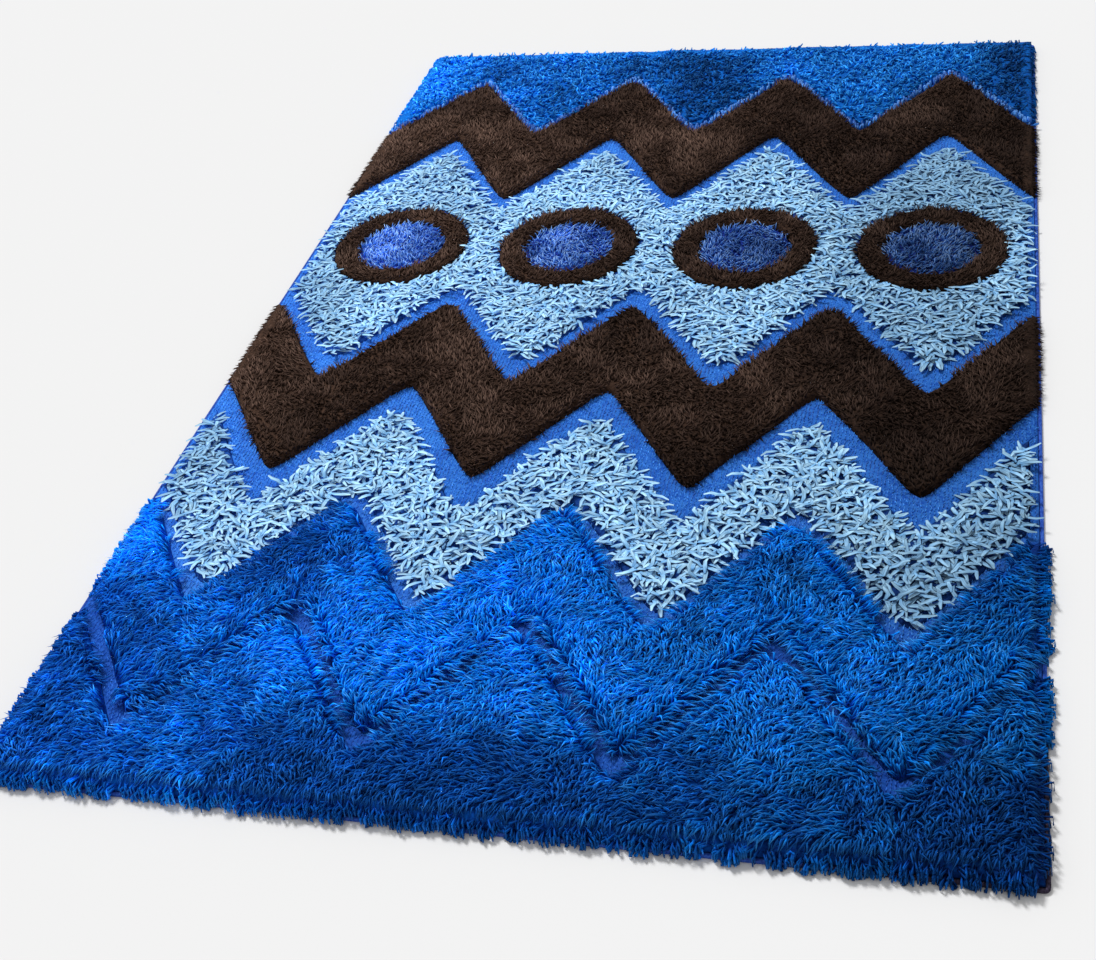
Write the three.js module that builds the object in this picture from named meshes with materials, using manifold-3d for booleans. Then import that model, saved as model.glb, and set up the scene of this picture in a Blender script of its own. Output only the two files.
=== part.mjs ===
// Shag rug laid flat: a thin backing cloth, low pile in the channels, and tall pile in zigzag
// bands and ringed discs. Each zone of pile is a lumpy slab with locks at its rim.
// Millimetres, +Z up, +Y towards the rug's top edge, origin at the middle of the underside.

import * as THREE from "three";
import { mergeVertices } from "three/addons/utils/BufferGeometryUtils.js";
import Module from "manifold-3d";

const wasm = await Module();
wasm.setup();

// Rug and backing
const RUG_WIDTH = 1400;
const RUG_LENGTH = 2300;
const HALF_WIDTH = RUG_WIDTH / 2;
const HALF_LENGTH = RUG_LENGTH / 2;
const BACKING_THICKNESS = 3;
const CORNER_RADIUS = 8;
const CORNER_SEGMENTS = 4;
const HEM_WIDTH = 6;
const HEM_THICKNESS = 5.5;
const GAP = 0.35;
const PILE_FOOT = BACKING_THICKNESS + GAP;
const SIDE_REACH = HALF_WIDTH - HEM_WIDTH - GAP;
const END_REACH = HALF_LENGTH - HEM_WIDTH - GAP;

// Low pile in the channels
const LOW_PILE_TOP = 8;
const LOW_PILE_RIPPLE = 0.6;
const LIP = LOW_PILE_TOP + LOW_PILE_RIPPLE + GAP;

// Waves that together make a surface uneven: strength, length, direction in degrees, and start
const WAVES = [
  { strength: 0.45, length: 245, direction: 15, start: 1.7 },
  { strength: 0.35, length: 150, direction: 118, start: 3.1 },
  { strength: 0.2, length: 70, direction: -40, start: 1.3 },
];

// Zigzags: teeth across the width, and the steps that a tooth is drawn in
const TEETH = 4;
const TOOTH = RUG_WIDTH / TEETH;
const STEPS_PER_TOOTH = 8;
const STEP = TOOTH / STEPS_PER_TOOTH;
const END_ROUNDING = 12;
const END_HEIGHT = 0.8;

// Height up the rug of each line, where one tooth meets the next and at a tooth's middle
const LINES = {
  topEdge: { meet: END_REACH, middle: END_REACH },
  topLow: { meet: 750, middle: 995 },
  brown1High: { meet: 727, middle: 975 },
  brown1Low: { meet: 437, middle: 700 },
  light1High: { meet: 402, middle: 648 },
  light1Low: { meet: 108, middle: -132 },
  brown2High: { meet: 38, middle: -200 },
  brown2Low: { meet: -232, middle: -470 },
  light2High: { meet: -292, middle: -543 },
  light2Low: { meet: -510, middle: -742 },
  shag1High: { meet: -545, middle: -788 },
  shag1Low: { meet: -775, middle: -1010 },
  shag2High: { meet: -815, middle: -1050 },
  bottomEdge: { meet: -END_REACH, middle: -END_REACH },
};

// Yarns: colour and how matt each one is
const YARNS = {
  backing: { color: 0x3a3345, roughness: 0.95 },
  low_pile: { color: 0x3f6fd8, roughness: 0.9 },
  royal: { color: 0x0c4fb4, roughness: 0.85 },
  brown: { color: 0x33241e, roughness: 0.9 },
  light: { color: 0x8fc4e4, roughness: 0.8 },
  violet: { color: 0x3d5fc4, roughness: 0.85 },
  shag: { color: 0x0b5cc4, roughness: 0.8 },
};

// Tall bands: the lines they lie between, how far they reach to each side, their height,
// the lumps on their crown, the splay of their rim over the channel, and rows on the crown
const BANDS = [
  { name: "top_field", yarn: "royal", low: "topLow", high: "topEdge", reach: SIDE_REACH,
    height: 24, lump: 2, splay: 2.5, rows: 4 },
  { name: "brown_band_1", yarn: "brown", low: "brown1Low", high: "brown1High", reach: SIDE_REACH,
    height: 23, lump: 1.5, splay: 2.5, rows: 3 },
  { name: "light_field", yarn: "light", low: "light1Low", high: "light1High", reach: HALF_WIDTH - 20,
    height: 21, lump: 2, splay: 4, rows: 4 },
  { name: "brown_band_2", yarn: "brown", low: "brown2Low", high: "brown2High", reach: SIDE_REACH,
    height: 23, lump: 1.5, splay: 2.5, rows: 3 },
  { name: "light_band", yarn: "light", low: "light2Low", high: "light2High", reach: HALF_WIDTH - 20,
    height: 21, lump: 2, splay: 4, rows: 3 },
  { name: "shag_band", yarn: "shag", low: "shag1Low", high: "shag1High", reach: SIDE_REACH,
    height: 31, lump: 3.5, splay: 4, rows: 3 },
  { name: "shag_field", yarn: "shag", low: "bottomEdge", high: "shag2High", reach: SIDE_REACH,
    height: 32, lump: 3.5, splay: 4, rows: 3 },
];
const SHOULDER_IN = 9;
const SHOULDER_HEIGHT = 0.94;
const LIP_RISE = 3;
const SPLAY_UNEVEN = 0.4;

// Low pile: the lines it lies between, and the tall band that stands inside it, if one does
const CHANNELS = [
  { name: "low_pile_1", low: "brown1High", high: "topLow", island: null },
  { name: "low_pile_2", low: "brown2High", high: "brown1Low", island: "light_field" },
  { name: "low_pile_3", low: "shag1High", high: "brown2Low", island: "light_band" },
  { name: "low_pile_4", low: "shag2High", high: "shag1Low", island: null },
];

// Ringed discs in a row inside the light field
const DISC_COUNT = 4;
const DISC_SPACING = 342;
const DISC_HEIGHT_UP_RUG = 250;
const DISC_STRETCH = 1.06;
const RING_OUTER = 134;
const RING_INNER = 85;
const DISC_GAP = 1.5;
const RING_HEIGHT = 22;
const CENTRE_HEIGHT = 18;
const DISC_SIDES = 20;
const DISC_WALL = 0.78;
const DISC_SHOULDER = 0.96;
const DISC_SHOULDER_IN = 7;
const DISC_LUMP = 1.5;

// Locks at the rims: which band and side, how many, their length, width and root height,
// how far the tip sinks below the root, and how far they lean along the rim in degrees
const LOCKS = [
  { band: "top_field", side: "high", count: 34, length: 14, width: 12, root: 14, sink: 5, lean: 8 },
  { band: "top_field", side: "ends", count: 6, length: 13, width: 12, root: 14, sink: 5, lean: 0 },
  { band: "brown_band_1", side: "ends", count: 6, length: 14, width: 12, root: 14, sink: 5, lean: 0 },
  { band: "light_field", side: "high", count: 30, length: 11, width: 8, root: 14, sink: 2, lean: 20 },
  { band: "light_field", side: "low", count: 30, length: 20, width: 8, root: 14, sink: 2, lean: -20 },
  { band: "brown_band_2", side: "ends", count: 6, length: 14, width: 12, root: 14, sink: 5, lean: 0 },
  { band: "light_band", side: "high", count: 30, length: 20, width: 8, root: 14, sink: 2, lean: 20 },
  { band: "light_band", side: "low", count: 30, length: 11, width: 8, root: 14, sink: 2, lean: -20 },
  { band: "shag_band", side: "ends", count: 8, length: 20, width: 16, root: 18, sink: 9, lean: 20 },
  { band: "shag_field", side: "ends", count: 10, length: 20, width: 16, root: 18, sink: 9, lean: 20 },
  { band: "shag_field", side: "low", count: 58, length: 22, width: 17, root: 17, sink: 9, lean: 12 },
];
const LOCK_SIDES = 3;
const LOCK_BENDS = 2;
const LOCK_ROOT_DEPTH = 8;
const LOCK_UNEVEN = 0.3;
const LOCK_FLATNESS = 0.6;
const END_MARGIN = 14;

// Points closer than this are one point
const MERGE_DISTANCE = 1e-4;

const rug = new THREE.Group();
const materials = {};
for (const [name, yarn] of Object.entries(YARNS)) {
  materials[name] = { ...yarn, metalness: 0 };
}

// A smooth uneven value between -1 and 1 at a place, different for each seed
function uneven(x, y, seed) {
  let sum = 0;
  for (const wave of WAVES) {
    const direction = THREE.MathUtils.degToRad(wave.direction);
    const along = x * Math.cos(direction) + y * Math.sin(direction);
    sum += wave.strength * Math.sin((2 * Math.PI * along) / wave.length + wave.start * seed);
  }
  return sum;
}

// Height up the rug of a line at a place across it
function heightUp(line, x) {
  const place = (x + HALF_WIDTH) / TOOTH;
  const within = place - Math.floor(place);
  const towardsMiddle = 1 - Math.abs(2 * within - 1);
  return line.meet + (line.middle - line.meet) * towardsMiddle;
}

// Distance along Y that makes a given distance square to a slanted line
function alongY(line, distance) {
  const slope = (line.middle - line.meet) / (TOOTH / 2);
  return distance * Math.hypot(1, slope);
}

// Places across the rug where a band has a section, with one close to each end
function sectionPlaces(reach, rounded) {
  const places = [];
  for (let step = 0; step <= TEETH * STEPS_PER_TOOTH; step += 1) {
    const x = -HALF_WIDTH + step * STEP;
    if (Math.abs(x) < reach - END_ROUNDING - GAP) {
      places.push(x);
    }
  }
  const ends = rounded ? [reach - END_ROUNDING, reach] : [reach];
  for (const end of ends) {
    places.unshift(-end);
    places.push(end);
  }
  return places;
}

// Closed skin over sections that each hold the same number of points, in order
function loft(sections) {
  const size = sections[0].length;
  const positions = sections.flat(2);
  const faces = [];
  for (let row = 0; row < sections.length - 1; row += 1) {
    for (let k = 0; k < size; k += 1) {
      const next = (k + 1) % size;
      const a = row * size + k;
      const b = row * size + next;
      faces.push(a, a + size, b, b, a + size, b + size);
    }
  }
  const last = (sections.length - 1) * size;
  for (let k = 1; k < size - 1; k += 1) {
    faces.push(0, k, k + 1);
    faces.push(last, last + k + 1, last + k);
  }
  const geometry = new THREE.BufferGeometry();
  geometry.setAttribute("position", new THREE.Float32BufferAttribute(positions, 3));
  geometry.setIndex(faces);
  return geometry;
}

function toSolid(geometry) {
  const bare = geometry.clone();
  bare.deleteAttribute("normal");
  bare.deleteAttribute("uv");
  const merged = mergeVertices(bare, MERGE_DISTANCE);
  return new wasm.Manifold(new wasm.Mesh({
    numProp: 3,
    vertProperties: new Float32Array(merged.attributes.position.array),
    triVerts: new Uint32Array(merged.index.array),
  }));
}

function toGeometry(solid) {
  const mesh = solid.getMesh();
  const geometry = new THREE.BufferGeometry();
  geometry.setAttribute("position", new THREE.BufferAttribute(mesh.vertProperties, 3));
  geometry.setIndex(new THREE.BufferAttribute(mesh.triVerts, 1));
  return geometry;
}

function place(name, yarn, geometry) {
  geometry.computeVertexNormals();
  const mesh = new THREE.Mesh(geometry, new THREE.MeshStandardMaterial(materials[yarn]));
  mesh.name = name;
  rug.add(mesh);
}

// The rug's outline: a rectangle with small round corners
function rugOutline() {
  const w = HALF_WIDTH;
  const l = HALF_LENGTH;
  const r = CORNER_RADIUS;
  const outline = new THREE.Shape();
  outline.absarc(w - r, -l + r, r, -Math.PI / 2, 0);
  outline.absarc(w - r, l - r, r, 0, Math.PI / 2);
  outline.absarc(-w + r, l - r, r, Math.PI / 2, Math.PI);
  outline.absarc(-w + r, -l + r, r, Math.PI, 1.5 * Math.PI);
  return outline;
}

// Backing cloth: a flat sheet whose edge is turned over into a thicker hem all round
function backingSheet() {
  const w = HALF_WIDTH - HEM_WIDTH;
  const l = HALF_LENGTH - HEM_WIDTH;
  const hem = rugOutline();
  const inside = [[-w, -l], [-w, l], [w, l], [w, -l]];
  hem.holes.push(new THREE.Path(inside.map(([x, y]) => new THREE.Vector2(x, y))));
  const shape = { bevelEnabled: false, curveSegments: CORNER_SEGMENTS };
  const flat = new THREE.ExtrudeGeometry(rugOutline(), { ...shape, depth: BACKING_THICKNESS });
  const edge = new THREE.ExtrudeGeometry(hem, { ...shape, depth: HEM_THICKNESS });
  return toGeometry(toSolid(flat).add(toSolid(edge)));
}

// Section of a tall band: straight foot, rim splayed over the channel, shoulder, lumpy crown
function bandSection(band, x, seed) {
  const lowLine = LINES[band.low];
  const highLine = LINES[band.high];
  const low = heightUp(lowLine, x);
  const high = heightUp(highLine, x);
  const atEnd = Math.abs(x) === band.reach;
  const height = band.height * (atEnd ? END_HEIGHT : 1);
  const splayLow = alongY(lowLine, band.splay * (1 + SPLAY_UNEVEN * uneven(x, low, seed)));
  const splayHigh = alongY(highLine, band.splay * (1 + SPLAY_UNEVEN * uneven(x, high, seed)));
  const innerLow = low + alongY(lowLine, SHOULDER_IN);
  const innerHigh = high - alongY(highLine, SHOULDER_IN);
  const crown = [];
  for (let row = 0; row <= band.rows; row += 1) {
    const y = innerLow + ((innerHigh - innerLow) * row) / band.rows;
    const atShoulder = row === 0 || row === band.rows;
    const level = height * (atShoulder ? SHOULDER_HEIGHT : 1);
    crown.push([x, y, level + band.lump * uneven(x, y, seed)]);
  }
  return [
    [x, low, PILE_FOOT],
    [x, low, LIP],
    [x, low - splayLow, LIP + LIP_RISE],
    ...crown,
    [x, high + splayHigh, LIP + LIP_RISE],
    [x, high, LIP],
    [x, high, PILE_FOOT],
  ];
}

function bandGeometry(band, seed) {
  const places = sectionPlaces(band.reach, true);
  return loft(places.map((x) => bandSection(band, x, seed)));
}

// Upright block on a band's own outline, grown sideways by a clearance
function outlineBlock(band, clearance) {
  const reach = band.reach + clearance;
  const sections = sectionPlaces(reach, false).map((x) => {
    const low = heightUp(LINES[band.low], x) - alongY(LINES[band.low], clearance);
    const high = heightUp(LINES[band.high], x) + alongY(LINES[band.high], clearance);
    const floor = 0;
    const ceiling = 2 * LIP;
    return [[x, low, floor], [x, low, ceiling], [x, high, ceiling], [x, high, floor]];
  });
  return loft(sections);
}

// Low pile in one channel, with its top in slight ripples
function channelGeometry(channel, seed) {
  const lowLine = LINES[channel.low];
  const highLine = LINES[channel.high];
  const sections = sectionPlaces(SIDE_REACH, false).map((x) => {
    const low = heightUp(lowLine, x) + alongY(lowLine, GAP);
    const high = heightUp(highLine, x) - alongY(highLine, GAP);
    const middle = (low + high) / 2;
    const ripple = LOW_PILE_RIPPLE * uneven(x, middle, seed);
    return [
      [x, low, PILE_FOOT],
      [x, low, LOW_PILE_TOP],
      [x, middle, LOW_PILE_TOP + ripple],
      [x, high, LOW_PILE_TOP],
      [x, high, PILE_FOOT],
    ];
  });
  return loft(sections);
}

// Round solid about an upright axis, stretched along the rug and made lumpy on its crown
function discGeometry(profile, centre, height, seed) {
  const points = profile.map(([radius, z]) => new THREE.Vector2(radius, z));
  const geometry = new THREE.LatheGeometry(points, DISC_SIDES);
  geometry.rotateX(Math.PI / 2);
  geometry.scale(1, DISC_STRETCH, 1);
  geometry.translate(centre, DISC_HEIGHT_UP_RUG, 0);
  const spots = geometry.attributes.position;
  const crownStart = (height * (DISC_WALL + DISC_SHOULDER)) / 2;
  for (let i = 0; i < spots.count; i += 1) {
    if (spots.getZ(i) > crownStart) {
      const lump = DISC_LUMP * uneven(spots.getX(i), spots.getY(i), seed);
      spots.setZ(i, spots.getZ(i) + lump);
    }
  }
  return geometry;
}

// Brown ring: straight walls and a rounded crown, closed on itself
function ringGeometry(centre, seed) {
  const inner = RING_INNER + DISC_GAP;
  const outer = RING_OUTER;
  const profile = [
    [inner, PILE_FOOT],
    [outer, PILE_FOOT],
    [outer, RING_HEIGHT * DISC_WALL],
    [outer - DISC_SHOULDER_IN, RING_HEIGHT * DISC_SHOULDER],
    [(inner + outer) / 2, RING_HEIGHT],
    [inner + DISC_SHOULDER_IN, RING_HEIGHT * DISC_SHOULDER],
    [inner, RING_HEIGHT * DISC_WALL],
    [inner, PILE_FOOT],
  ];
  return discGeometry(profile, centre, RING_HEIGHT, seed);
}

// Disc inside a ring: a low round cushion of pile
function centreGeometry(centre, seed) {
  const profile = [
    [0, PILE_FOOT],
    [RING_INNER, PILE_FOOT],
    [RING_INNER, CENTRE_HEIGHT * DISC_WALL],
    [RING_INNER - DISC_SHOULDER_IN, CENTRE_HEIGHT * DISC_SHOULDER],
    [RING_INNER / 2, CENTRE_HEIGHT * DISC_SHOULDER],
    [0, CENTRE_HEIGHT],
  ];
  return discGeometry(profile, centre, CENTRE_HEIGHT, seed);
}

// Upright block that clears room for a ringed disc in the light field
function discHole(centre) {
  const geometry = new THREE.CylinderGeometry(1, 1, 4 * LIP, DISC_SIDES);
  geometry.rotateX(Math.PI / 2);
  const radius = RING_OUTER + DISC_GAP;
  geometry.scale(radius, radius * DISC_STRETCH, 1);
  geometry.translate(centre, DISC_HEIGHT_UP_RUG, LIP);
  return geometry;
}

// One lock: a thin cone that bends down from its root towards its tip
function lockGeometry(root, heading, length, width, sink) {
  const geometry = new THREE.ConeGeometry(width / 2, length, LOCK_SIDES, LOCK_BENDS);
  geometry.translate(0, length / 2, 0);
  geometry.rotateZ(-Math.PI / 2);
  const spots = geometry.attributes.position;
  for (let i = 0; i < spots.count; i += 1) {
    const along = Math.max(spots.getX(i) - LOCK_ROOT_DEPTH, 0) / (length - LOCK_ROOT_DEPTH);
    spots.setZ(i, spots.getZ(i) * LOCK_FLATNESS - sink * along * along);
  }
  geometry.translate(-LOCK_ROOT_DEPTH, 0, 0);
  geometry.rotateZ(heading);
  geometry.translate(root.x, root.y, root.z);
  return geometry;
}

// Root and heading of each lock on a band's zigzag side
function sideRoots(row, band) {
  const outward = row.side === "high" ? 1 : -1;
  const line = LINES[band[row.side]];
  const spots = [];
  const pitch = (2 * (band.reach - END_MARGIN)) / (row.count - 1);
  for (let k = 0; k < row.count; k += 1) {
    const x = -band.reach + END_MARGIN + k * pitch;
    const slope = heightUp(line, x + GAP) - heightUp(line, x - GAP);
    const square = Math.atan2(slope, 2 * GAP) + (outward * Math.PI) / 2;
    spots.push({ x, y: heightUp(line, x), square });
  }
  return spots;
}

// Root and heading of each lock on a band's two ends at the rug's side edges
function endRoots(row, band) {
  const spots = [];
  const perEnd = row.count / 2;
  for (const side of [-1, 1]) {
    const x = side * band.reach;
    const low = heightUp(LINES[band.low], x) + END_MARGIN;
    const high = heightUp(LINES[band.high], x) - END_MARGIN;
    for (let k = 0; k < perEnd; k += 1) {
      const y = low + ((high - low) * (k + 0.5)) / perEnd;
      spots.push({ x, y, square: side > 0 ? 0 : Math.PI });
    }
  }
  return spots;
}

function bandLocks(band) {
  const locks = [];
  for (const row of LOCKS.filter((entry) => entry.band === band.name)) {
    const spots = row.side === "ends" ? endRoots(row, band) : sideRoots(row, band);
    spots.forEach((spot, k) => {
      const chance = uneven(spot.x, spot.y, k);
      const root = { x: spot.x, y: spot.y, z: row.root };
      const lean = THREE.MathUtils.degToRad(row.lean * (1 + chance));
      const length = LOCK_ROOT_DEPTH + row.length * (1 + LOCK_UNEVEN * chance);
      const width = row.width * (1 - (LOCK_UNEVEN * chance) / 2);
      locks.push(lockGeometry(root, spot.square + lean, length, width, row.sink));
    });
  }
  return locks;
}

function discCentres() {
  const centres = [];
  for (let k = 0; k < DISC_COUNT; k += 1) {
    centres.push((k - (DISC_COUNT - 1) / 2) * DISC_SPACING);
  }
  return centres;
}

// Tall band with its locks, and with the disc holes where it is the light field
function addBand(band, seed) {
  let solid = toSolid(bandGeometry(band, seed));
  if (band.name === "light_field") {
    for (const centre of discCentres()) {
      solid = solid.subtract(toSolid(discHole(centre)));
    }
  }
  for (const lock of bandLocks(band)) {
    solid = solid.add(toSolid(lock));
  }
  place(band.name, band.yarn, toGeometry(solid));
}

function addChannel(channel, seed) {
  let solid = toSolid(channelGeometry(channel, seed));
  if (channel.island) {
    const island = BANDS.find((band) => band.name === channel.island);
    solid = solid.subtract(toSolid(outlineBlock(island, GAP)));
  }
  place(channel.name, "low_pile", toGeometry(solid));
}

place("backing", "backing", backingSheet());
CHANNELS.forEach((channel, k) => addChannel(channel, k + 20));
BANDS.forEach((band, k) => addBand(band, k));
discCentres().forEach((centre, k) => {
  place(`brown_ring_${k + 1}`, "brown", toGeometry(toSolid(ringGeometry(centre, k + 40))));
  place(`blue_centre_${k + 1}`, "violet", toGeometry(toSolid(centreGeometry(centre, k + 60))));
});

export default rug;
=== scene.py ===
# Shag rug lying flat: lumpy zones of pile over a thin hemmed backing, each dressed with strands of
# its own yarn. Metres, +Z up, +Y towards the rug's top edge, origin at the middle of the underside.

import math
from collections import namedtuple

import bmesh
import bpy
import numpy as np
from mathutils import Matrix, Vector


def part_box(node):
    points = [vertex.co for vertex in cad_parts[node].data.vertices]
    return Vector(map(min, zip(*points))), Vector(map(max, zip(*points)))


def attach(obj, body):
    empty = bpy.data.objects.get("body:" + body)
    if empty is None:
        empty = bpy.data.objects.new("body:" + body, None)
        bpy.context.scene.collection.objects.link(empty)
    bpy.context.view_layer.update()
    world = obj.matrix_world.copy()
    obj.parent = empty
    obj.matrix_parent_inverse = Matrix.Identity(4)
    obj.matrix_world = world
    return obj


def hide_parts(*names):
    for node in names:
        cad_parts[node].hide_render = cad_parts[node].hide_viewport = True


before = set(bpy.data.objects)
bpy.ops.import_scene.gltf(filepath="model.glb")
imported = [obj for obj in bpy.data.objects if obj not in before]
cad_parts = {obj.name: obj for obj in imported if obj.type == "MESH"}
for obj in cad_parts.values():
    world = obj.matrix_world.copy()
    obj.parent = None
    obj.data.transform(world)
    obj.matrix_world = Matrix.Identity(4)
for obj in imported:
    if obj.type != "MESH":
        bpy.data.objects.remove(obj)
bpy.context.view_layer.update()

MM = 0.001
rug_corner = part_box("backing")[1]
HALF_WIDTH = rug_corner.x
HALF_LENGTH = rug_corner.y
HEM_TOP = rug_corner.z
HEM_WIDTH = 6 * MM
SHEET_TOP = 3 * MM
CORNER_RADIUS = 8 * MM
CORNER_POINTS = 7
GAP = 0.35 * MM
SIDE_REACH = HALF_WIDTH - HEM_WIDTH - GAP
END_REACH = HALF_LENGTH - HEM_WIDTH - GAP
ISLAND_REACH = HALF_WIDTH - 20 * MM
PILE_FOOT = SHEET_TOP + GAP
LOW_PILE_TOP = 8 * MM

# The hem's section, from under the rug over to the flat sheet: inset and height in millimetres
HEM_SECTION = [
    (1.0, 0.0), (0.3, 0.5), (0.0, 1.6), (0.0, 3.9), (0.5, 5.0),
    (1.7, 5.5), (4.0, 5.4), (5.4, 4.6), (6.0, 3.0),
]

# Zigzags: teeth across the rug, how round their points are, and how uneven the lines run
TEETH = 4
TOOTH = 2 * HALF_WIDTH / TEETH
STEP = TOOTH / 24
POINT_ROUNDNESS = 0.985
WOBBLE = 3 * MM
WOBBLE_CELL = 55 * MM

# Height up the rug of each line: where two teeth meet, and at a tooth's middle. The brown pile's
# foot lies 9 to 14 mm up the rug from the lower rim of its solid, over which its tufts lean.
LINES = {
    "top_edge": (END_REACH, END_REACH),
    "top_low": (0.750, 0.995),
    "brown_1_high": (0.727, 0.975),
    "brown_1_low": (0.449, 0.710),
    "light_1_high": (0.402, 0.648),
    "light_1_low": (0.108, -0.132),
    "brown_2_high": (0.038, -0.200),
    "brown_2_low": (-0.218, -0.461),
    "light_2_high": (-0.292, -0.543),
    "light_2_low": (-0.510, -0.742),
    "shag_1_high": (-0.545, -0.788),
    "shag_1_low": (-0.775, -1.010),
    "shag_2_high": (-0.815, -1.050),
    "bottom_edge": (-END_REACH, -END_REACH),
}

# Ringed discs in the light field
DISCS = 4
DISC_SPACING = 0.342
DISC_CENTRES = [(k - (DISCS - 1) / 2) * DISC_SPACING for k in range(DISCS)]
DISC_UP = 0.250
DISC_STRETCH = 1.06
RING_OUTER = 0.134
RING_INNER = 0.0865
CENTRE_OUTER = 0.085
DISC_FOOT = PILE_FOOT + 1 * MM
DISC_SIDES = 64
DISC_STEPS = 8

# Slab under each kind of pile: height of its crown and of its lumps, and how far in its rim is round
CROWNS = {
    "low": (LOW_PILE_TOP, 0.4 * MM, 1.5 * MM),
    "royal": (19 * MM, 3 * MM, 9 * MM),
    "brown": (19 * MM, 1.5 * MM, 9 * MM),
    "light": (11 * MM, 1 * MM, 5 * MM),
    "shag": (19 * MM, 4 * MM, 20 * MM),
    "ring": (18 * MM, 1.2 * MM, 8 * MM),
    "violet": (11 * MM, 1 * MM, 6 * MM),
}
WALL_SHARE = 0.2
BROAD_LUMP = 55 * MM
FINE_LUMP = 24 * MM
RIM_STEPS = np.array([0.0, 0.06, 0.3, 0.65, 1.0])
END_STEPS = np.array([0.0, 0.15, 0.5, 1.0])
DOUBLED = 0.02 * MM

# Lowest that strands hang: over the floor, over the hem, and over the low pile
FLOOR_CLEARANCE = 0.6 * MM
OVER_HEM = HEM_TOP + 0.5 * MM
OVER_LOW_PILE = LOW_PILE_TOP + 1 * MM


# Shapes of the zones

NOISE_SIZE = 64


def smooth_noise(x, y, cell, seed):
    """Smooth value noise from -1 to 1, whose bumps are about one cell wide."""
    table = np.random.default_rng(seed).random((NOISE_SIZE, NOISE_SIZE)) * 2 - 1
    u, v = x / cell, y / cell
    iu, iv = np.floor(u).astype(int), np.floor(v).astype(int)
    fu, fv = u - iu, v - iv
    fu, fv = fu * fu * (3 - 2 * fu), fv * fv * (3 - 2 * fv)
    a, b = iu % NOISE_SIZE, iv % NOISE_SIZE
    next_a, next_b = (iu + 1) % NOISE_SIZE, (iv + 1) % NOISE_SIZE
    near = table[a, b] * (1 - fu) + table[next_a, b] * fu
    far = table[a, next_b] * (1 - fu) + table[next_a, next_b] * fu
    return near * (1 - fv) + far * fv


def clumps(x, y, cell, seed):
    """Middle of the nearest clump to each place, and a value from 0 to 1 that the clump keeps."""
    rng = np.random.default_rng(seed)
    shift_x, shift_y, value = rng.random((3, NOISE_SIZE, NOISE_SIZE))
    iu, iv = np.floor(x / cell).astype(int), np.floor(y / cell).astype(int)
    best = np.full(x.shape, np.inf)
    found = [np.zeros(x.shape) for _ in range(3)]
    for du in (-1, 0, 1):
        for dv in (-1, 0, 1):
            a, b = (iu + du) % NOISE_SIZE, (iv + dv) % NOISE_SIZE
            cx = (iu + du + shift_x[a, b]) * cell
            cy = (iv + dv + shift_y[a, b]) * cell
            away = np.hypot(cx - x, cy - y)
            closer = away < best
            best = np.where(closer, away, best)
            for k, new in enumerate((cx, cy, value[a, b])):
                found[k] = np.where(closer, new, found[k])
    return found


def height_up(line, x):
    """Height up the rug of a line at each place across it: an even zigzag with rounded points."""
    meet, middle = LINES[line]
    if meet == middle:
        return np.full(np.shape(x), meet)
    turn = 2 * math.pi * (x + HALF_WIDTH) / TOOTH
    least = math.acos(POINT_ROUNDNESS)
    share = (np.arccos(POINT_ROUNDNESS * np.cos(turn)) - least) / (math.pi - 2 * least)
    wobble = WOBBLE * smooth_noise(x, np.full(np.shape(x), meet), WOBBLE_CELL, list(LINES).index(line))
    return meet + (middle - meet) * share + wobble


def steepness(line):
    """How much longer a line's slanting side is than its reach across the rug."""
    meet, middle = LINES[line]
    return math.hypot(1, (middle - meet) / (TOOTH / 2))


def square_to(line, x, side):
    """Heading that points square away from a line, up the rug for side 1 and down for side -1."""
    reach = 3 * MM
    ahead = height_up(line, x + reach) - height_up(line, x - reach)
    return np.arctan2(ahead, 2 * reach) + side * math.pi / 2


def from_disc(centre, x, y):
    """Place as seen from a disc's centre, drawn in up the rug so that the disc is round there."""
    return x - centre, (y - DISC_UP) / DISC_STRETCH


class Zone:
    """A slab under one yarn's pile, with a lumpy crown that is rounded off at its rim."""

    def __init__(self, name, yarn, foot, seed, crown=None):
        self.name = name
        self.yarn = yarn
        self.foot = foot
        self.crown, self.lump, self.rounding = CROWNS[crown or yarn]
        self.seed = seed

    def surface(self, x, y):
        """Height of the slab's top: a wall and a quarter round at the rim, then the lumpy crown."""
        distance = self.rim(x, y)[0]
        inside = np.clip(distance / self.rounding, 0, 1)
        arc = np.sqrt(1 - (1 - inside) ** 2)
        broad = smooth_noise(x, y, BROAD_LUMP, self.seed)
        fine = smooth_noise(x, y, FINE_LUMP, self.seed + 1)
        top = self.crown + self.lump * (0.6 * broad + 0.4 * fine)
        wall = self.foot + WALL_SHARE * (self.crown - self.foot)
        return np.where(distance < -GAP, self.foot + GAP, wall + (top - wall) * arc)


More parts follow.
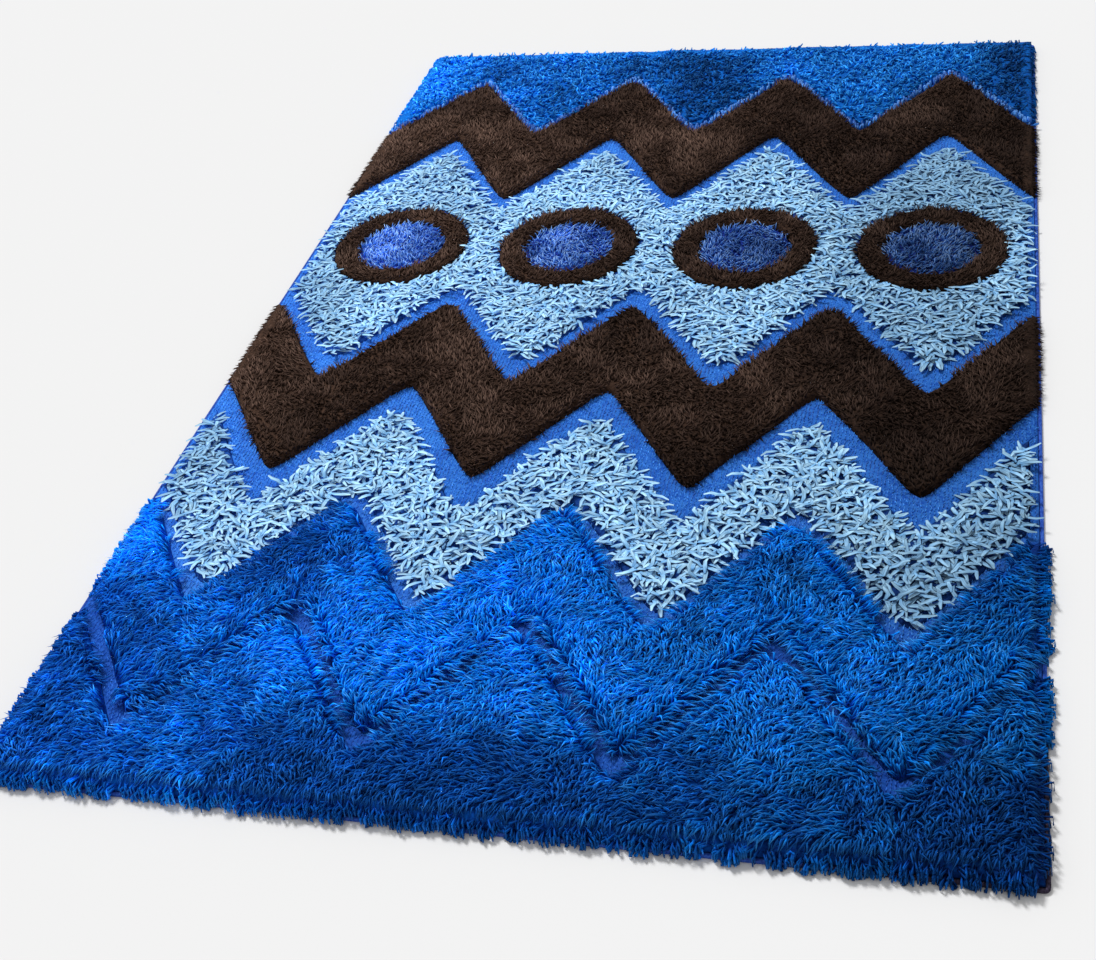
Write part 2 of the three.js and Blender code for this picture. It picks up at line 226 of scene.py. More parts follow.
class Band(Zone):
    """A zone between two lines and two upright ends, with round holes where discs stand in it."""

    def __init__(self, name, yarn, low, high, ends, seed, holes=()):
        super().__init__(name, yarn, PILE_FOOT, seed)
        self.low = low
        self.high = high
        self.ends = ends
        self.holes = holes

    def extent(self):
        low, high = LINES[self.low], LINES[self.high]
        return *self.ends, min(low) - WOBBLE, max(high) + WOBBLE

    def rim(self, x, y):
        """Distance in from the nearest rim, and the heading that points out over it."""
        left, right = self.ends
        options = [
            ((y - height_up(self.low, x)) / steepness(self.low), square_to(self.low, x, -1)),
            ((height_up(self.high, x) - y) / steepness(self.high), square_to(self.high, x, 1)),
            (x - left, np.full(x.shape, math.pi)),
            (right - x, np.zeros(x.shape)),
        ]
        for centre in self.holes:
            across, up = from_disc(centre, x, y)
            options.append((np.hypot(across, up) - RING_OUTER, np.arctan2(-up, -across)))
        distance, outward = options[0]
        for other, heading in options[1:]:
            outward = np.where(other < distance, heading, outward)
            distance = np.minimum(distance, other)
        return distance, outward

    def near_hole(self, x, y, reach):
        """Where a place is nearer than a reach to one of the holes."""
        near = np.zeros(x.shape, dtype=bool)
        for centre in self.holes:
            away = np.hypot(*from_disc(centre, x, y)) - RING_OUTER
            near |= away < reach
        return near

    def skin(self):
        """Closed slab: a row of sections across the rug, each from the low line over to the high line."""
        left, right = self.ends
        rounding = min(self.rounding, (right - left) / 3)
        inner = np.arange(-HALF_WIDTH, HALF_WIDTH + STEP / 2, STEP)
        inner = inner[(inner > left + rounding) & (inner < right - rounding)]
        insets = rounding * END_STEPS
        x = np.concatenate([left + insets, inner, right - insets[::-1]])
        low, high = height_up(self.low, x), height_up(self.high, x)
        rises = self.rounding * RIM_STEPS
        y_low = [low + rise * steepness(self.low) for rise in rises]
        y_high = [high - rise * steepness(self.high) for rise in rises]
        rows = max(2, int(np.mean(high - low) / STEP))
        shares = np.linspace(0, 1, rows + 1)[1:-1]
        between = [y_low[-1] + (y_high[-1] - y_low[-1]) * share for share in shares]
        profile = y_low + between + y_high[::-1]
        top = [np.stack([x, y, self.surface(x, y)], axis=1) for y in profile]
        foot = np.full(x.shape, self.foot)
        bottom = [np.stack([x, y, foot], axis=1) for y in (low, high)]
        return loft(np.stack([bottom[0], *top, bottom[1]], axis=1), closed=False)


class Disc(Zone):
    """A round zone, slightly longer up the rug: a ring, or a full disc where inner is 0."""

    def __init__(self, name, yarn, centre, inner, outer, seed, crown=None):
        super().__init__(name, yarn, DISC_FOOT, seed, crown)
        self.centre = centre
        self.inner = inner
        self.outer = outer

    def extent(self):
        up = self.outer * DISC_STRETCH
        return self.centre - self.outer, self.centre + self.outer, DISC_UP - up, DISC_UP + up

    def rim(self, x, y):
        """Distance in from the nearest rim, and the heading that points out over it."""
        across, up = from_disc(self.centre, x, y)
        radius = np.hypot(across, up)
        outward = np.arctan2(up, across)
        outer = self.outer - radius
        if self.inner == 0:
            return outer, outward
        inner = radius - self.inner
        return np.minimum(inner, outer), np.where(inner < outer, outward + math.pi, outward)

    def skin(self):
        """Closed slab: rings of points from the inner rim, or the middle, over to the outer rim."""
        angle = np.linspace(0, 2 * math.pi, DISC_SIDES, endpoint=False)
        insets = self.rounding * RIM_STEPS
        inner_side = [self.inner + inset for inset in insets] if self.inner else [0.0]
        outer_side = [self.outer - inset for inset in insets[::-1]]
        between = np.linspace(inner_side[-1], outer_side[0], DISC_STEPS)[1:-1]
        rings = [self.circle(angle, self.inner, self.foot)]
        rings += [self.circle(angle, radius, None) for radius in (*inner_side, *between, *outer_side)]
        rings.append(self.circle(angle, self.outer, self.foot))
        return loft(np.stack(rings, axis=1)[::-1], closed=True)

    def circle(self, angle, radius, height):
        """Points round the disc, at one height or else on its lumpy crown."""
        x = self.centre + radius * np.cos(angle)
        y = DISC_UP + radius * DISC_STRETCH * np.sin(angle)
        z = self.surface(x, y) if height is None else np.full(x.shape, height)
        return np.stack([x, y, z], axis=1)


def loft(sections, closed):
    """Points and four-sided faces over sections that each go round the piece's outline."""
    count, size = sections.shape[:2]
    rows = np.arange(count if closed else count - 1)[:, None]
    k = np.arange(size)[None, :]
    a = rows * size + k
    b = rows * size + (k + 1) % size
    c = ((rows + 1) % count) * size + (k + 1) % size
    d = ((rows + 1) % count) * size + k
    faces = np.stack([a, d, c, b], axis=-1).reshape(-1, 4).tolist()
    if not closed:
        last = (count - 1) * size
        faces.append(list(range(size)))
        faces.append([last + i for i in reversed(range(size))])
    return sections.reshape(-1, 3), faces


def add_object(name, data):
    """A new object in the scene, at the origin."""
    piece = bpy.data.objects.new(name, data)
    bpy.context.scene.collection.objects.link(piece)
    return piece


def solid_piece(name, parts, material):
    """One mesh object from parts, each of points and faces, with doubled points merged."""
    mesh = bpy.data.meshes.new(name)
    all_points, all_faces = [], []
    for points, faces in parts:
        start = len(all_points)
        all_points += points.tolist()
        all_faces += [[start + i for i in face] for face in faces]
    mesh.from_pydata(all_points, [], all_faces)
    mesh.materials.append(material)
    work = bmesh.new()
    work.from_mesh(mesh)
    bmesh.ops.remove_doubles(work, verts=work.verts, dist=DOUBLED)
    bmesh.ops.recalc_face_normals(work, faces=work.faces)
    work.to_mesh(mesh)
    work.free()
    mesh.polygons.foreach_set("use_smooth", np.ones(len(mesh.polygons), dtype=bool))
    return add_object(name, mesh)


# Strands

SIDES = 3


class Yarn:
    """Shape of one kind of strand: its width at each ring from root to tip, and its flatness.

    A strand has three sides. One of its corners is up, or else one crisp flat side is.
    """

    def __init__(self, taper, flatness, flat_top=False):
        self.taper = taper
        self.flatness = flatness
        self.flat_top = flat_top
        self.first_corner = -math.pi / 2 if flat_top else math.pi / 2
        self.across = (0.5, 0.0, 1.0) if flat_top else (0.0, 1.0, 1.0)

    def faces(self):
        """Faces of one closed strand, as lists of its own point numbers."""
        faces = [list(range(SIDES))[::-1]]
        for ring in range(len(self.taper) - 1):
            start, end = ring * SIDES, (ring + 1) * SIDES
            for k in range(SIDES):
                after = (k + 1) % SIDES
                if self.taper[ring + 1] == 0:
                    faces.append([start + k, start + after, end])
                else:
                    faces.append([start + k, start + after, end + after, end + k])
        if self.taper[-1]:
            faces.append([(len(self.taper) - 1) * SIDES + k for k in range(SIDES)])
        return faces

    def places(self):
        """Place of each point along the strand and across it, both from 0 to 1.

        Across runs from side to side over a flat top, and otherwise down from the top corner.
        """
        along, across = [], []
        for ring, taper in enumerate(self.taper):
            place = ring / (len(self.taper) - 1)
            along += [place] if taper == 0 else [place] * SIDES
            across += [0.5] if taper == 0 else self.across
        return np.array(along), np.array(across)


SHAG_YARN = Yarn((0.8, 1.0, 0.0), 0.75)
LOBE_YARN = Yarn((0.8, 1.0, 0.7), 0.8)
LOCK_YARN = Yarn((0.55, 1.0, 0.95, 0.45), 0.35, flat_top=True)
LOOP_YARN = Yarn((0.85, 1.0, 0.6), 0.85)
SHORT_YARN = Yarn((1.0, 0.0), 0.8)
SPIKE_YARN = Yarn((0.9, 0.9, 0.0), 0.9)


def lowest(x, y):
    """Lowest place for a strand: on the floor outside the rug, and clear of what lies under it inside."""
    outside = (np.abs(x) > HALF_WIDTH) | (np.abs(y) > HALF_LENGTH)
    over_hem = (np.abs(x) > SIDE_REACH) | (np.abs(y) > END_REACH)
    return np.where(outside, FLOOR_CLEARANCE, np.where(over_hem, OVER_HEM, OVER_LOW_PILE))


def strand_points(yarn, root, heading, rise, droop, length, width, curl=0.0, wave=0.0):
    """Rings of points along each strand, from its root, a place and a height.

    Its slope falls from rise at the root by droop at the tip, in degrees. Curl turns it one way all
    along, and wave turns it to and fro.
    """
    root, rise, droop = np.stack(root, axis=1), np.radians(rise), np.radians(droop)
    rings = len(yarn.taper)
    step = length / (rings - 1)
    along = root.copy()
    points = []
    for ring, taper in enumerate(yarn.taper):
        share = max(ring - 0.5, 0) / (rings - 1)
        slope = rise - droop * share
        turn = heading + curl * share + wave * (-1) ** ring
        flat = np.cos(slope)
        ahead = np.stack([flat * np.cos(turn), flat * np.sin(turn), np.sin(slope)], axis=1)
        across = np.stack([-np.sin(turn), np.cos(turn), np.zeros_like(turn)], axis=1)
        upward = np.cross(ahead, across)
        if ring:
            along = along + ahead * step[:, None]
            rest = lowest(along[:, 0], along[:, 1]) + taper * width * yarn.flatness / 2
            along[:, 2] = np.maximum(along[:, 2], rest)
        for k in range(SIDES if taper else 1):
            angle = yarn.first_corner + 2 * math.pi * k / SIDES
            out = across * math.cos(angle) + upward * math.sin(angle) * yarn.flatness
            points.append(along + out * (taper * width / 2)[:, None])
    return np.stack(points, axis=1)


def strand_piece(name, yarn, material, rng, shade, *shape):
    """One mesh of every strand, whose points know their place on the strand and its own tones."""
    points = strand_points(yarn, *shape)
    count, size = points.shape[:2]
    pattern = yarn.faces()
    corner_list = np.array([i for face in pattern for i in face])
    face_sizes = np.array([len(face) for face in pattern])
    corners = (corner_list[None, :] + np.arange(count)[:, None] * size).reshape(-1)
    sizes = np.tile(face_sizes, count)
    mesh = bpy.data.meshes.new(name)
    mesh.vertices.add(count * size)
    mesh.vertices.foreach_set("co", points.reshape(-1).astype(np.float32))
    mesh.loops.add(len(corners))
    mesh.loops.foreach_set("vertex_index", corners.astype(np.int32))
    mesh.polygons.add(len(sizes))
    starts = np.concatenate([[0], np.cumsum(sizes)[:-1]])
    mesh.polygons.foreach_set("loop_start", starts.astype(np.int32))
    mesh.update(calc_edges=True)
    mesh.validate()
    mesh.polygons.foreach_set("use_smooth", np.full(len(mesh.polygons), not yarn.flat_top))
    along, across = yarn.places()
    tone = np.ones((count, size, 4), dtype=np.float32)
    tone[:, :, 0] = along[None, :]
    tone[:, :, 1] = rng.random(count)[:, None]
    tone[:, :, 2] = shade[:, None]
    tone[:, :, 3] = across[None, :]
    layer = mesh.attributes.new("pile", "FLOAT_COLOR", "POINT")
    layer.data.foreach_set("color", tone.reshape(-1))
    mesh.materials.append(material)
    return add_object(name, mesh)


# Where strands stand and which way they head

ROW_SHARE = 0.87
JITTER = 0.42
ROOT_INSET = 0.5 * MM
ROOT_DEPTH = 2 * MM
LOWEST_ROOT = PILE_FOOT + 2 * MM
FLOW_CELL = 50 * MM


def scatter(zone, spacing, inset, rng):
    """Places spread over a zone in a loose even layout, in from its rim by an inset."""
    x0, x1, y0, y1 = zone.extent()
    row_spacing = spacing * ROW_SHARE
    columns = int((x1 - x0) / spacing) + 1
    rows = int((y1 - y0) / row_spacing) + 1
    u, v = np.meshgrid(np.arange(columns), np.arange(rows))
    x = x0 + (u + 0.5 * (v % 2) + rng.uniform(-JITTER, JITTER, u.shape)) * spacing
    y = y0 + (v + rng.uniform(-JITTER, JITTER, u.shape)) * row_spacing
    x, y = x.reshape(-1), y.reshape(-1)
    keep = zone.rim(x, y)[0] > inset
    return x[keep], y[keep]


def blend_headings(first, second, share):
    """Heading that is the first where share is 0 and the second where it is 1."""
    x = np.cos(first) * (1 - share) + np.cos(second) * share
    y = np.sin(first) * (1 - share) + np.sin(second) * share
    return np.arctan2(y, x)


def drawn_together(x, y, cx, cy, heading, reach):
    """Heading from each place to one point that its whole clump leans towards."""
    return np.arctan2(cy + reach * np.sin(heading) - y, cx + reach * np.cos(heading) - x)


def rooted(zone, x, y, heading, back):
    """Root of each strand whose middle lies over a place: set back along it, but not off the zone."""
    share = np.ones(x.size)
    for _ in range(5):
        root_x = x - share * back * np.cos(heading)
        root_y = y - share * back * np.sin(heading)
        off = zone.rim(root_x, root_y)[0] < ROOT_INSET
        share = np.where(off, 0.6 * share, share)
    return root_x, root_y


# Broad patches where the dye took unevenly, for each yarn: size and seed
PATCHES = {
    "royal": (170 * MM, 4814), "brown": (220 * MM, 4847), "light": (220 * MM, 4446),
    "violet": (60 * MM, 7), "shag": (220 * MM, 4143),
}


def dye(zone, x, y, own):
    """Tone of each strand from 0 to 1, partly its own and partly that of a broad patch."""
    size, seed = PATCHES[zone.yarn]
    patch = 0.5 + 0.85 * smooth_noise(x, y, size, seed)
    return np.clip(0.35 * own + 0.65 * patch, 0, 1)


# The rug's own edges: how far in the pile there starts, how many strands are added for each one, how
# wide its lobes are, how far behind a lobe its strands fan out from, and how much they stray
Edge = namedtuple("Edge", "reach copies lobe fan stray")
SHAG_EDGE = Edge(reach=12 * MM, copies=5, lobe=32 * MM, fan=36 * MM, stray=0.35)
PLUSH_EDGE = Edge(reach=9 * MM, copies=4, lobe=15 * MM, fan=20 * MM, stray=0.2)
CROWDED_SHARE = 0.3
CROWD_SHIFT = 2
CROWD_INSET = 0.3 * MM
LEAST_SUNK = 0.15
DEEPEST = 7 * MM
LOBE_SHARE = 0.6


def at_side(zone, x, y, reach):
    """Where a place is near its zone's rim and near the rug's own edge too."""
    near = (np.abs(x) > SIDE_REACH - reach) | (np.abs(y) > END_REACH - reach)
    return near & (zone.rim(x, y)[0] < reach)


def crowded(zone, x, y, edge, rng):
    """Places with more of them right at the rug's edges, where the pile shows from its side.

    Also gives how far each is sunk, for the added ones stand one above the other.
    """
    near = at_side(zone, x, y, CROWDED_SHARE * edge.reach)
    added = edge.copies * int(near.sum())
    shift = rng.uniform(-CROWD_SHIFT, CROWD_SHIFT, (2, added)) * MM
    sunk = np.concatenate([np.zeros(x.size), rng.uniform(LEAST_SUNK, 1, added) * DEEPEST])
    x = np.concatenate([x, np.tile(x[near], edge.copies) + shift[0]])
    y = np.concatenate([y, np.tile(y[near], edge.copies) + shift[1]])
    inside = zone.rim(x, y)[0] > CROWD_INSET
    return x[inside], y[inside], sunk[inside]


def hanging(x, y, outward, edge, seed, rng):
    """Heading of strands that hang over the rug's edges, and how full their lobe is at each.

    A lobe's strands head away from one point behind it, and it is fullest in its middle.
    """
    at_end = END_REACH - np.abs(y) < SIDE_REACH - np.abs(x)
    along = np.where(at_end, x, y)
    middle, _, own = clumps(along, np.zeros(x.size), edge.lobe, seed)
    across = np.clip(np.abs(along - middle) / (LOBE_SHARE * edge.lobe), 0, 0.9)
    fullness = np.sqrt(1 - across ** 2) * (0.8 + 0.2 * own)
    lobe_x, lobe_y = np.where(at_end, middle, x), np.where(at_end, y, middle)
    ahead_x = x - lobe_x + edge.fan * np.cos(outward)
    ahead_y = y - lobe_y + edge.fan * np.sin(outward)
    return np.arctan2(ahead_y, ahead_x) + rng.normal(0, edge.stray, x.size), fullness


# Deep-blue shag. Here and below, lengths and widths are the least and most in millimetres, and rises
# and droops are in degrees: the least and most, or where it says so the mean and spread.
SHAG_SPACING = 4.68 * MM
SHAG_INSET = 1 * MM
SHAG_CLUMP = 25 * MM
SHAG_CLUMP_RISE = 5 * MM
SHAG_CLUMP_FALL = 2 * MM
SHAG_HIGHEST = 2 * MM
SHAG_NAP = math.radians(-130)
SHAG_GATHER = 1.2
SHAG_STRAY = 0.25
SHAG_RIM = 12 * MM
SHAG_LENGTH = (24, 38)
SHAG_WIDTH = (2.9, 4.5)
SHAG_RISE_MEAN, SHAG_RISE_SPREAD = 53, 8
SHAG_DROOP = (80, 115)
SHAG_CURL = 0.35
SHAG_WAVE = 0.2
SHAG_BACK = 0.4
SHAG_TURNED_BACK = 0.12
EDGE_BLEND = 26 * MM
EDGE_LEAN = 0.8
EDGE_LENGTH = (30, 41)
EDGE_RISE, SUNK_RISE = 54, 32
EDGE_DROOP = 185
LEFT_FULLNESS = 0.6
BARE_STRIP = 13 * MM
BARE_BELOW = -0.93

# How far the shag lies clear of the channels: least, and more at the rug's left and in the valleys
OPEN_LEAST = 0.1
OPEN_AT_LEFT = 0.6
OPEN_IN_VALLEYS = 0.55
OPEN_MOST = 0.85

# Slow variations over the shag: amount, cell and seed
SHAG_NOISE = {
    "comb": (0.9, 170 * MM, 71),
    "swirl": (1.2, 55 * MM, 72),
    "parting": (0.25, 120 * MM, 73),
    "wave": (0.3, 35 * MM, 74),
    "openness": (0.3, 90 * MM, 75),
    "turning": (0.5, 30 * MM, 76),
}


def shag_noise(kind, x, y):
    amount, cell, seed = SHAG_NOISE[kind]
    return amount * smooth_noise(x, y, cell, seed)


def shag_flow(zone, parting, cx, cy):
    """Heading that each clump is combed in, reversed below a parting some share of the way up."""
    low, high = height_up(zone.low, cx), height_up(zone.high, cx)
    below = (cy - low) / (high - low) < parting + shag_noise("parting", cx, cy)
    flow = np.where(below, SHAG_NAP + math.pi, SHAG_NAP)
    return flow + shag_noise("comb", cx, cy) + shag_noise("swirl", cx, cy)


def shag_openness(cx, cy):
    """How far each clump lies clear of the channel beside it, from 0 to 1."""
    valley = 0.5 - 0.5 * np.cos(2 * math.pi * (cx + HALF_WIDTH) / TOOTH)
    at_left = np.clip(-1.6 * cx / HALF_WIDTH - 0.4, 0, 1)
    openness = OPEN_LEAST + OPEN_AT_LEFT * at_left + OPEN_IN_VALLEYS * valley ** 4
    return np.clip(openness + shag_noise("openness", cx, cy), 0, OPEN_MOST)


def shag(zone, parting, seed):
    """Long wavy strands that arch over in combed flows, drawn together in clumps.

    At a rim they turn out and hang over the channel, but for open clumps on the zigzag's sides that
    lie square to the nap. Over the rug's edges they curl down in rounded lobes, a second piece.
    """
    rng = np.random.default_rng(seed)
    x, y = scatter(zone, SHAG_SPACING, SHAG_INSET, rng)
    x, y, sunk = crowded(zone, x, y, SHAG_EDGE, rng)
    bare = (x > HALF_WIDTH - BARE_STRIP) & (y < BARE_BELOW)
    x, y, sunk = x[~bare], y[~bare], sunk[~bare]
    cx, cy, own = clumps(x, y, SHAG_CLUMP, seed)
    distance, outward = zone.rim(x, y)
    flow = shag_flow(zone, parting, cx, cy)
    length = rng.uniform(*SHAG_LENGTH, x.size) * MM
    heading = drawn_together(x, y, cx, cy, flow, SHAG_GATHER * length)
    heading = heading + rng.normal(0, SHAG_STRAY, x.size)
    clear = np.abs(np.cos(outward - SHAG_NAP)) * shag_openness(cx, cy)
    turned = (0.5 + shag_noise("turning", cx, cy) > clear) & (distance < SHAG_RIM)
    heading = np.where(turned, blend_headings(heading, outward, 0.35 + 0.5 * own), heading)
    edge = at_side(zone, x, y, SHAG_EDGE.reach)
    beside = at_side(zone, x, y, SHAG_EDGE.reach + EDGE_BLEND)
    outwards = np.clip(1 - (distance - SHAG_EDGE.reach) / EDGE_BLEND, 0, 1)
    heading = np.where(beside, blend_headings(heading, outward, EDGE_LEAN * outwards), heading)
    over_edge, fullness = hanging(x, y, outward, SHAG_EDGE, seed + 20, rng)
    heading = np.where(edge, over_edge, heading)
    edge_rise = EDGE_RISE - (EDGE_RISE - SUNK_RISE) * sunk / DEEPEST
    rise = np.where(edge, edge_rise, rng.normal(SHAG_RISE_MEAN, SHAG_RISE_SPREAD, x.size))
    droop = np.where(edge, EDGE_DROOP, rng.uniform(*SHAG_DROOP, x.size))
    at_left = (x < 0) & (y > -END_REACH + SHAG_EDGE.reach)
    fullness = fullness * np.where(at_left, LEFT_FULLNESS, 1.0)
    length = np.where(edge, rng.uniform(*EDGE_LENGTH, x.size) * fullness * MM, length)
    curl = rng.normal(0, SHAG_CURL, x.size)
    wave = shag_noise("wave", x, y) + rng.normal(0, SHAG_WAVE, x.size)
    shade = dye(zone, x, y, own)
    dome = np.clip(np.hypot(x - cx, y - cy) / (0.5 * SHAG_CLUMP), 0, 1.2) ** 2
    height = zone.surface(x, y) - ROOT_DEPTH + SHAG_CLUMP_RISE * own - SHAG_CLUMP_FALL * dome - sunk
    back = np.where(edge, 0.0, np.where(turned, SHAG_TURNED_BACK, SHAG_BACK))
    x, y = rooted(zone, x, y, heading, back * length)
    height = np.minimum(height, zone.surface(x, y) + SHAG_HIGHEST)
    root = np.stack([x, y, np.maximum(height, LOWEST_ROOT)])
    width = rng.uniform(*SHAG_WIDTH, x.size) * MM
    shape = (heading, rise, droop, length, width, curl, wave)
    pieces = []
    for part, yarn, chosen in (("strands", SHAG_YARN, ~edge), ("lobes", LOBE_YARN, edge)):
        own_shape = (values[chosen] for values in shape)
        pieces.append(strand_piece(f"{zone.name}_{part}", yarn, MATERIALS["shag_strands"], rng,
                                   shade[chosen], root[:, chosen], *own_shape))
    return pieces


# Light-blue locks. A rim counts as upper where the sine of its outward heading is over this facing.
LOCK_INSET = 1.5 * MM
LOCK_FLOW = 3 * math.pi
LOCK_FLOW_CELL = 60 * MM
LOCK_STRAY = 1.1
LOCK_RIM = 11 * MM
LOCK_RIM_SHARE = 0.8
LOCK_OUTWARD = 0.85
LOCK_RIM_STRAY = 0.5
LOCK_HOLE_RIM = 13 * MM
LOCK_UPPER_RIM = 20 * MM
LOCK_FACING = 0.3
LOCK_LENGTH = (21, 35)
LOCK_WIDTH = (6.0, 8.8)
LOCK_RISE = (-5, 21)
LOCK_UPPER_RISE = (-8, 10)
LOCK_DROOP = (2, 38)
LOCK_CURL = 0.7
LOCK_WAVE = 0.22
LOCK_BACK = 0.45
LOCK_LOWER_BACK = 0.25
LOCK_DEPTH = 7 * MM
LOCK_UPPER_DEPTH = 0.4


def locks(zone, spacing, seed):
    """Thick flattened locks that lie across each other, and stick out over the channels at the rim.

    They lie lower along upper rims, and keep off the discs. The lower a lock lies, the darker it is
    painted, as painted shade.
    """
    rng = np.random.default_rng(seed)
    x, y = scatter(zone, spacing, LOCK_INSET, rng)
    distance, outward = zone.rim(x, y)
    flow = LOCK_FLOW * smooth_noise(x, y, LOCK_FLOW_CELL, seed + 1) + rng.normal(0, LOCK_STRAY, x.size)
    at_hole = zone.near_hole(x, y, LOCK_HOLE_RIM)
    at_rim = (distance < LOCK_RIM) & (rng.random(x.size) < LOCK_RIM_SHARE)
    stray = rng.normal(0, LOCK_RIM_STRAY, x.size)
    outward = np.where(at_hole, outward + math.pi, outward) + stray
    heading = np.where(at_rim, blend_headings(flow, outward, LOCK_OUTWARD), flow)
    length = rng.uniform(*LOCK_LENGTH, x.size) * MM
    width = rng.uniform(*LOCK_WIDTH, x.size) * MM
    faces_up = np.sin(outward)
    upper = (distance < LOCK_UPPER_RIM) & (faces_up > LOCK_FACING) & ~at_hole
    rise = np.where(upper, rng.uniform(*LOCK_UPPER_RISE, x.size), rng.uniform(*LOCK_RISE, x.size))
    droop = rng.uniform(*LOCK_DROOP, x.size)
    curl = rng.normal(0, LOCK_CURL, x.size)
    wave = rng.normal(0, LOCK_WAVE, x.size)
    back = np.where(at_rim & (faces_up < LOCK_FACING), LOCK_LOWER_BACK, LOCK_BACK)
    x, y = rooted(zone, x, y, heading, back * length)
    # Each lock's layer lifts it and also sets its tone, so lower locks are darker: painted shade under the
    # locks above.
    layer = rng.random(x.size)
    height = zone.surface(x, y) + LOCK_DEPTH * layer * np.where(upper, LOCK_UPPER_DEPTH, 1.0)
    return strand_piece(f"{zone.name}_locks", LOCK_YARN, MATERIALS["light_locks"], rng,
                        dye(zone, x, y, layer), (x, y, height), heading, rise, droop, length, width,
                        curl, wave)


# Plush: yarn, spacing, mean length and width of its tufts, mean rise, and how far clumps fan out
Plush = namedtuple("Plush", "yarn spacing length width rise lobed")
ROYAL_PLUSH = Plush(LOOP_YARN, 7.3 * MM, 16 * MM, 5.0 * MM, 44, 0.5)
BROWN_PLUSH = Plush(SHORT_YARN, 4.9 * MM, 15 * MM, 5.2 * MM, 56, 0.25)
PLUSH_INSET = 0.3 * MM
PLUSH_CLUMP = 22 * MM
PLUSH_STRAY = 0.7
PLUSH_RIM = 8 * MM
PLUSH_RIM_SHARE = 0.7
PLUSH_RIM_LOBED = 0.35
PLUSH_RIM_FALL = 0.4
PLUSH_FACING = 0.2
PLUSH_LEAN, PLUSH_LOWER_LEAN = 0.8, 0.45
PLUSH_LOWERED = 0.55
PLUSH_LOW_REACH = 2.5 * PLUSH_EDGE.reach
PLUSH_LENGTHS = (0.7, 1.3)
PLUSH_EDGE_LENGTHS = (1.05, 1.25)
PLUSH_WIDTHS = (0.8, 1.2)
PLUSH_RISE_SPREAD = 13
PLUSH_EDGE_RISE, PLUSH_SUNK_RISE = 14, -26
PLUSH_DROOP = (10, 60)
PLUSH_EDGE_DROOP = 55
PLUSH_CURL = 0.5


def tufts(zone, plush, clear_side, seed):
    """Short tufts of plush in small rounded clumps, which bulge over the rug's own edges.

    On its clear side, up the rug for 1 and down for -1, a zone's rim leans back from the channel.
    It has none for 0. Tufts lean less far over a lower rim than over the others.
    """
    rng = np.random.default_rng(seed)
    x, y = scatter(zone, plush.spacing, PLUSH_INSET, rng)
    x, y, sunk = crowded(zone, x, y, PLUSH_EDGE, rng)
    distance, outward = zone.rim(x, y)
    cx, cy, own = clumps(x, y, PLUSH_CLUMP, seed)
    lobe = np.arctan2(y - cy, x - cx)
    flow = math.pi * smooth_noise(x, y, FLOW_CELL, seed + 1) + rng.normal(0, PLUSH_STRAY, x.size)
    flow = blend_headings(flow, lobe, plush.lobed)
    at_rim = np.clip(1 - distance / PLUSH_RIM, 0, 1)
    leaning = np.where(np.sin(outward) < -PLUSH_FACING, PLUSH_LOWER_LEAN, PLUSH_LEAN)
    turned = leaning * at_rim * (rng.random(x.size) < PLUSH_RIM_SHARE)
    leans_back = clear_side * np.sin(outward) > PLUSH_FACING
    over = blend_headings(outward, lobe, PLUSH_RIM_LOBED)
    over = np.where(leans_back, outward + math.pi, over)
    heading = blend_headings(flow, over, turned)
    edge = at_side(zone, x, y, PLUSH_EDGE.reach)
    over_edge, fullness = hanging(x, y, outward, PLUSH_EDGE, seed + 20, rng)
    heading = np.where(edge, over_edge, heading)
    lowered = np.where(at_side(zone, x, y, PLUSH_LOW_REACH), PLUSH_LOWERED, 1.0)
    length = rng.uniform(*PLUSH_LENGTHS, x.size) * (0.4 + 0.6 * lowered)
    length = np.where(edge, rng.uniform(*PLUSH_EDGE_LENGTHS, x.size) * fullness, length) * plush.length
    width = rng.uniform(*PLUSH_WIDTHS, x.size) * plush.width
    rise = rng.normal(plush.rise, PLUSH_RISE_SPREAD, x.size) * (1 - PLUSH_RIM_FALL * at_rim) * lowered
    edge_rise = PLUSH_EDGE_RISE - (PLUSH_EDGE_RISE - PLUSH_SUNK_RISE) * sunk / DEEPEST
    rise = np.where(edge, edge_rise, rise)
    edge_droop = PLUSH_EDGE_DROOP * (len(plush.yarn.taper) - 1)
    droop = np.where(edge, edge_droop, rng.uniform(*PLUSH_DROOP, x.size))
    curl = rng.normal(0, PLUSH_CURL, x.size)
    height = np.maximum(zone.surface(x, y) - ROOT_DEPTH - sunk, LOWEST_ROOT)
    return strand_piece(f"{zone.name}_tufts", plush.yarn, MATERIALS[f"{zone.yarn}_tufts"], rng,
                        dye(zone, x, y, own), (x, y, height), heading, rise, droop, length, width, curl)


# Fine strands in the discs' middles
SPIKE_SPACING = 5.2 * MM
SPIKE_INSET = 1 * MM
SPIKE_STRAY = 0.9
SPIKE_RIM = 12 * MM
SPIKE_RIM_LEAN = 0.7
SPIKE_RIM_FALL = 14
SPIKE_LENGTH = (13, 21)
SPIKE_WIDTH = (3.0, 4.2)
SPIKE_RISE = (34, 78)
SPIKE_DROOP = (10, 60)
SPIKE_CURL = 0.6


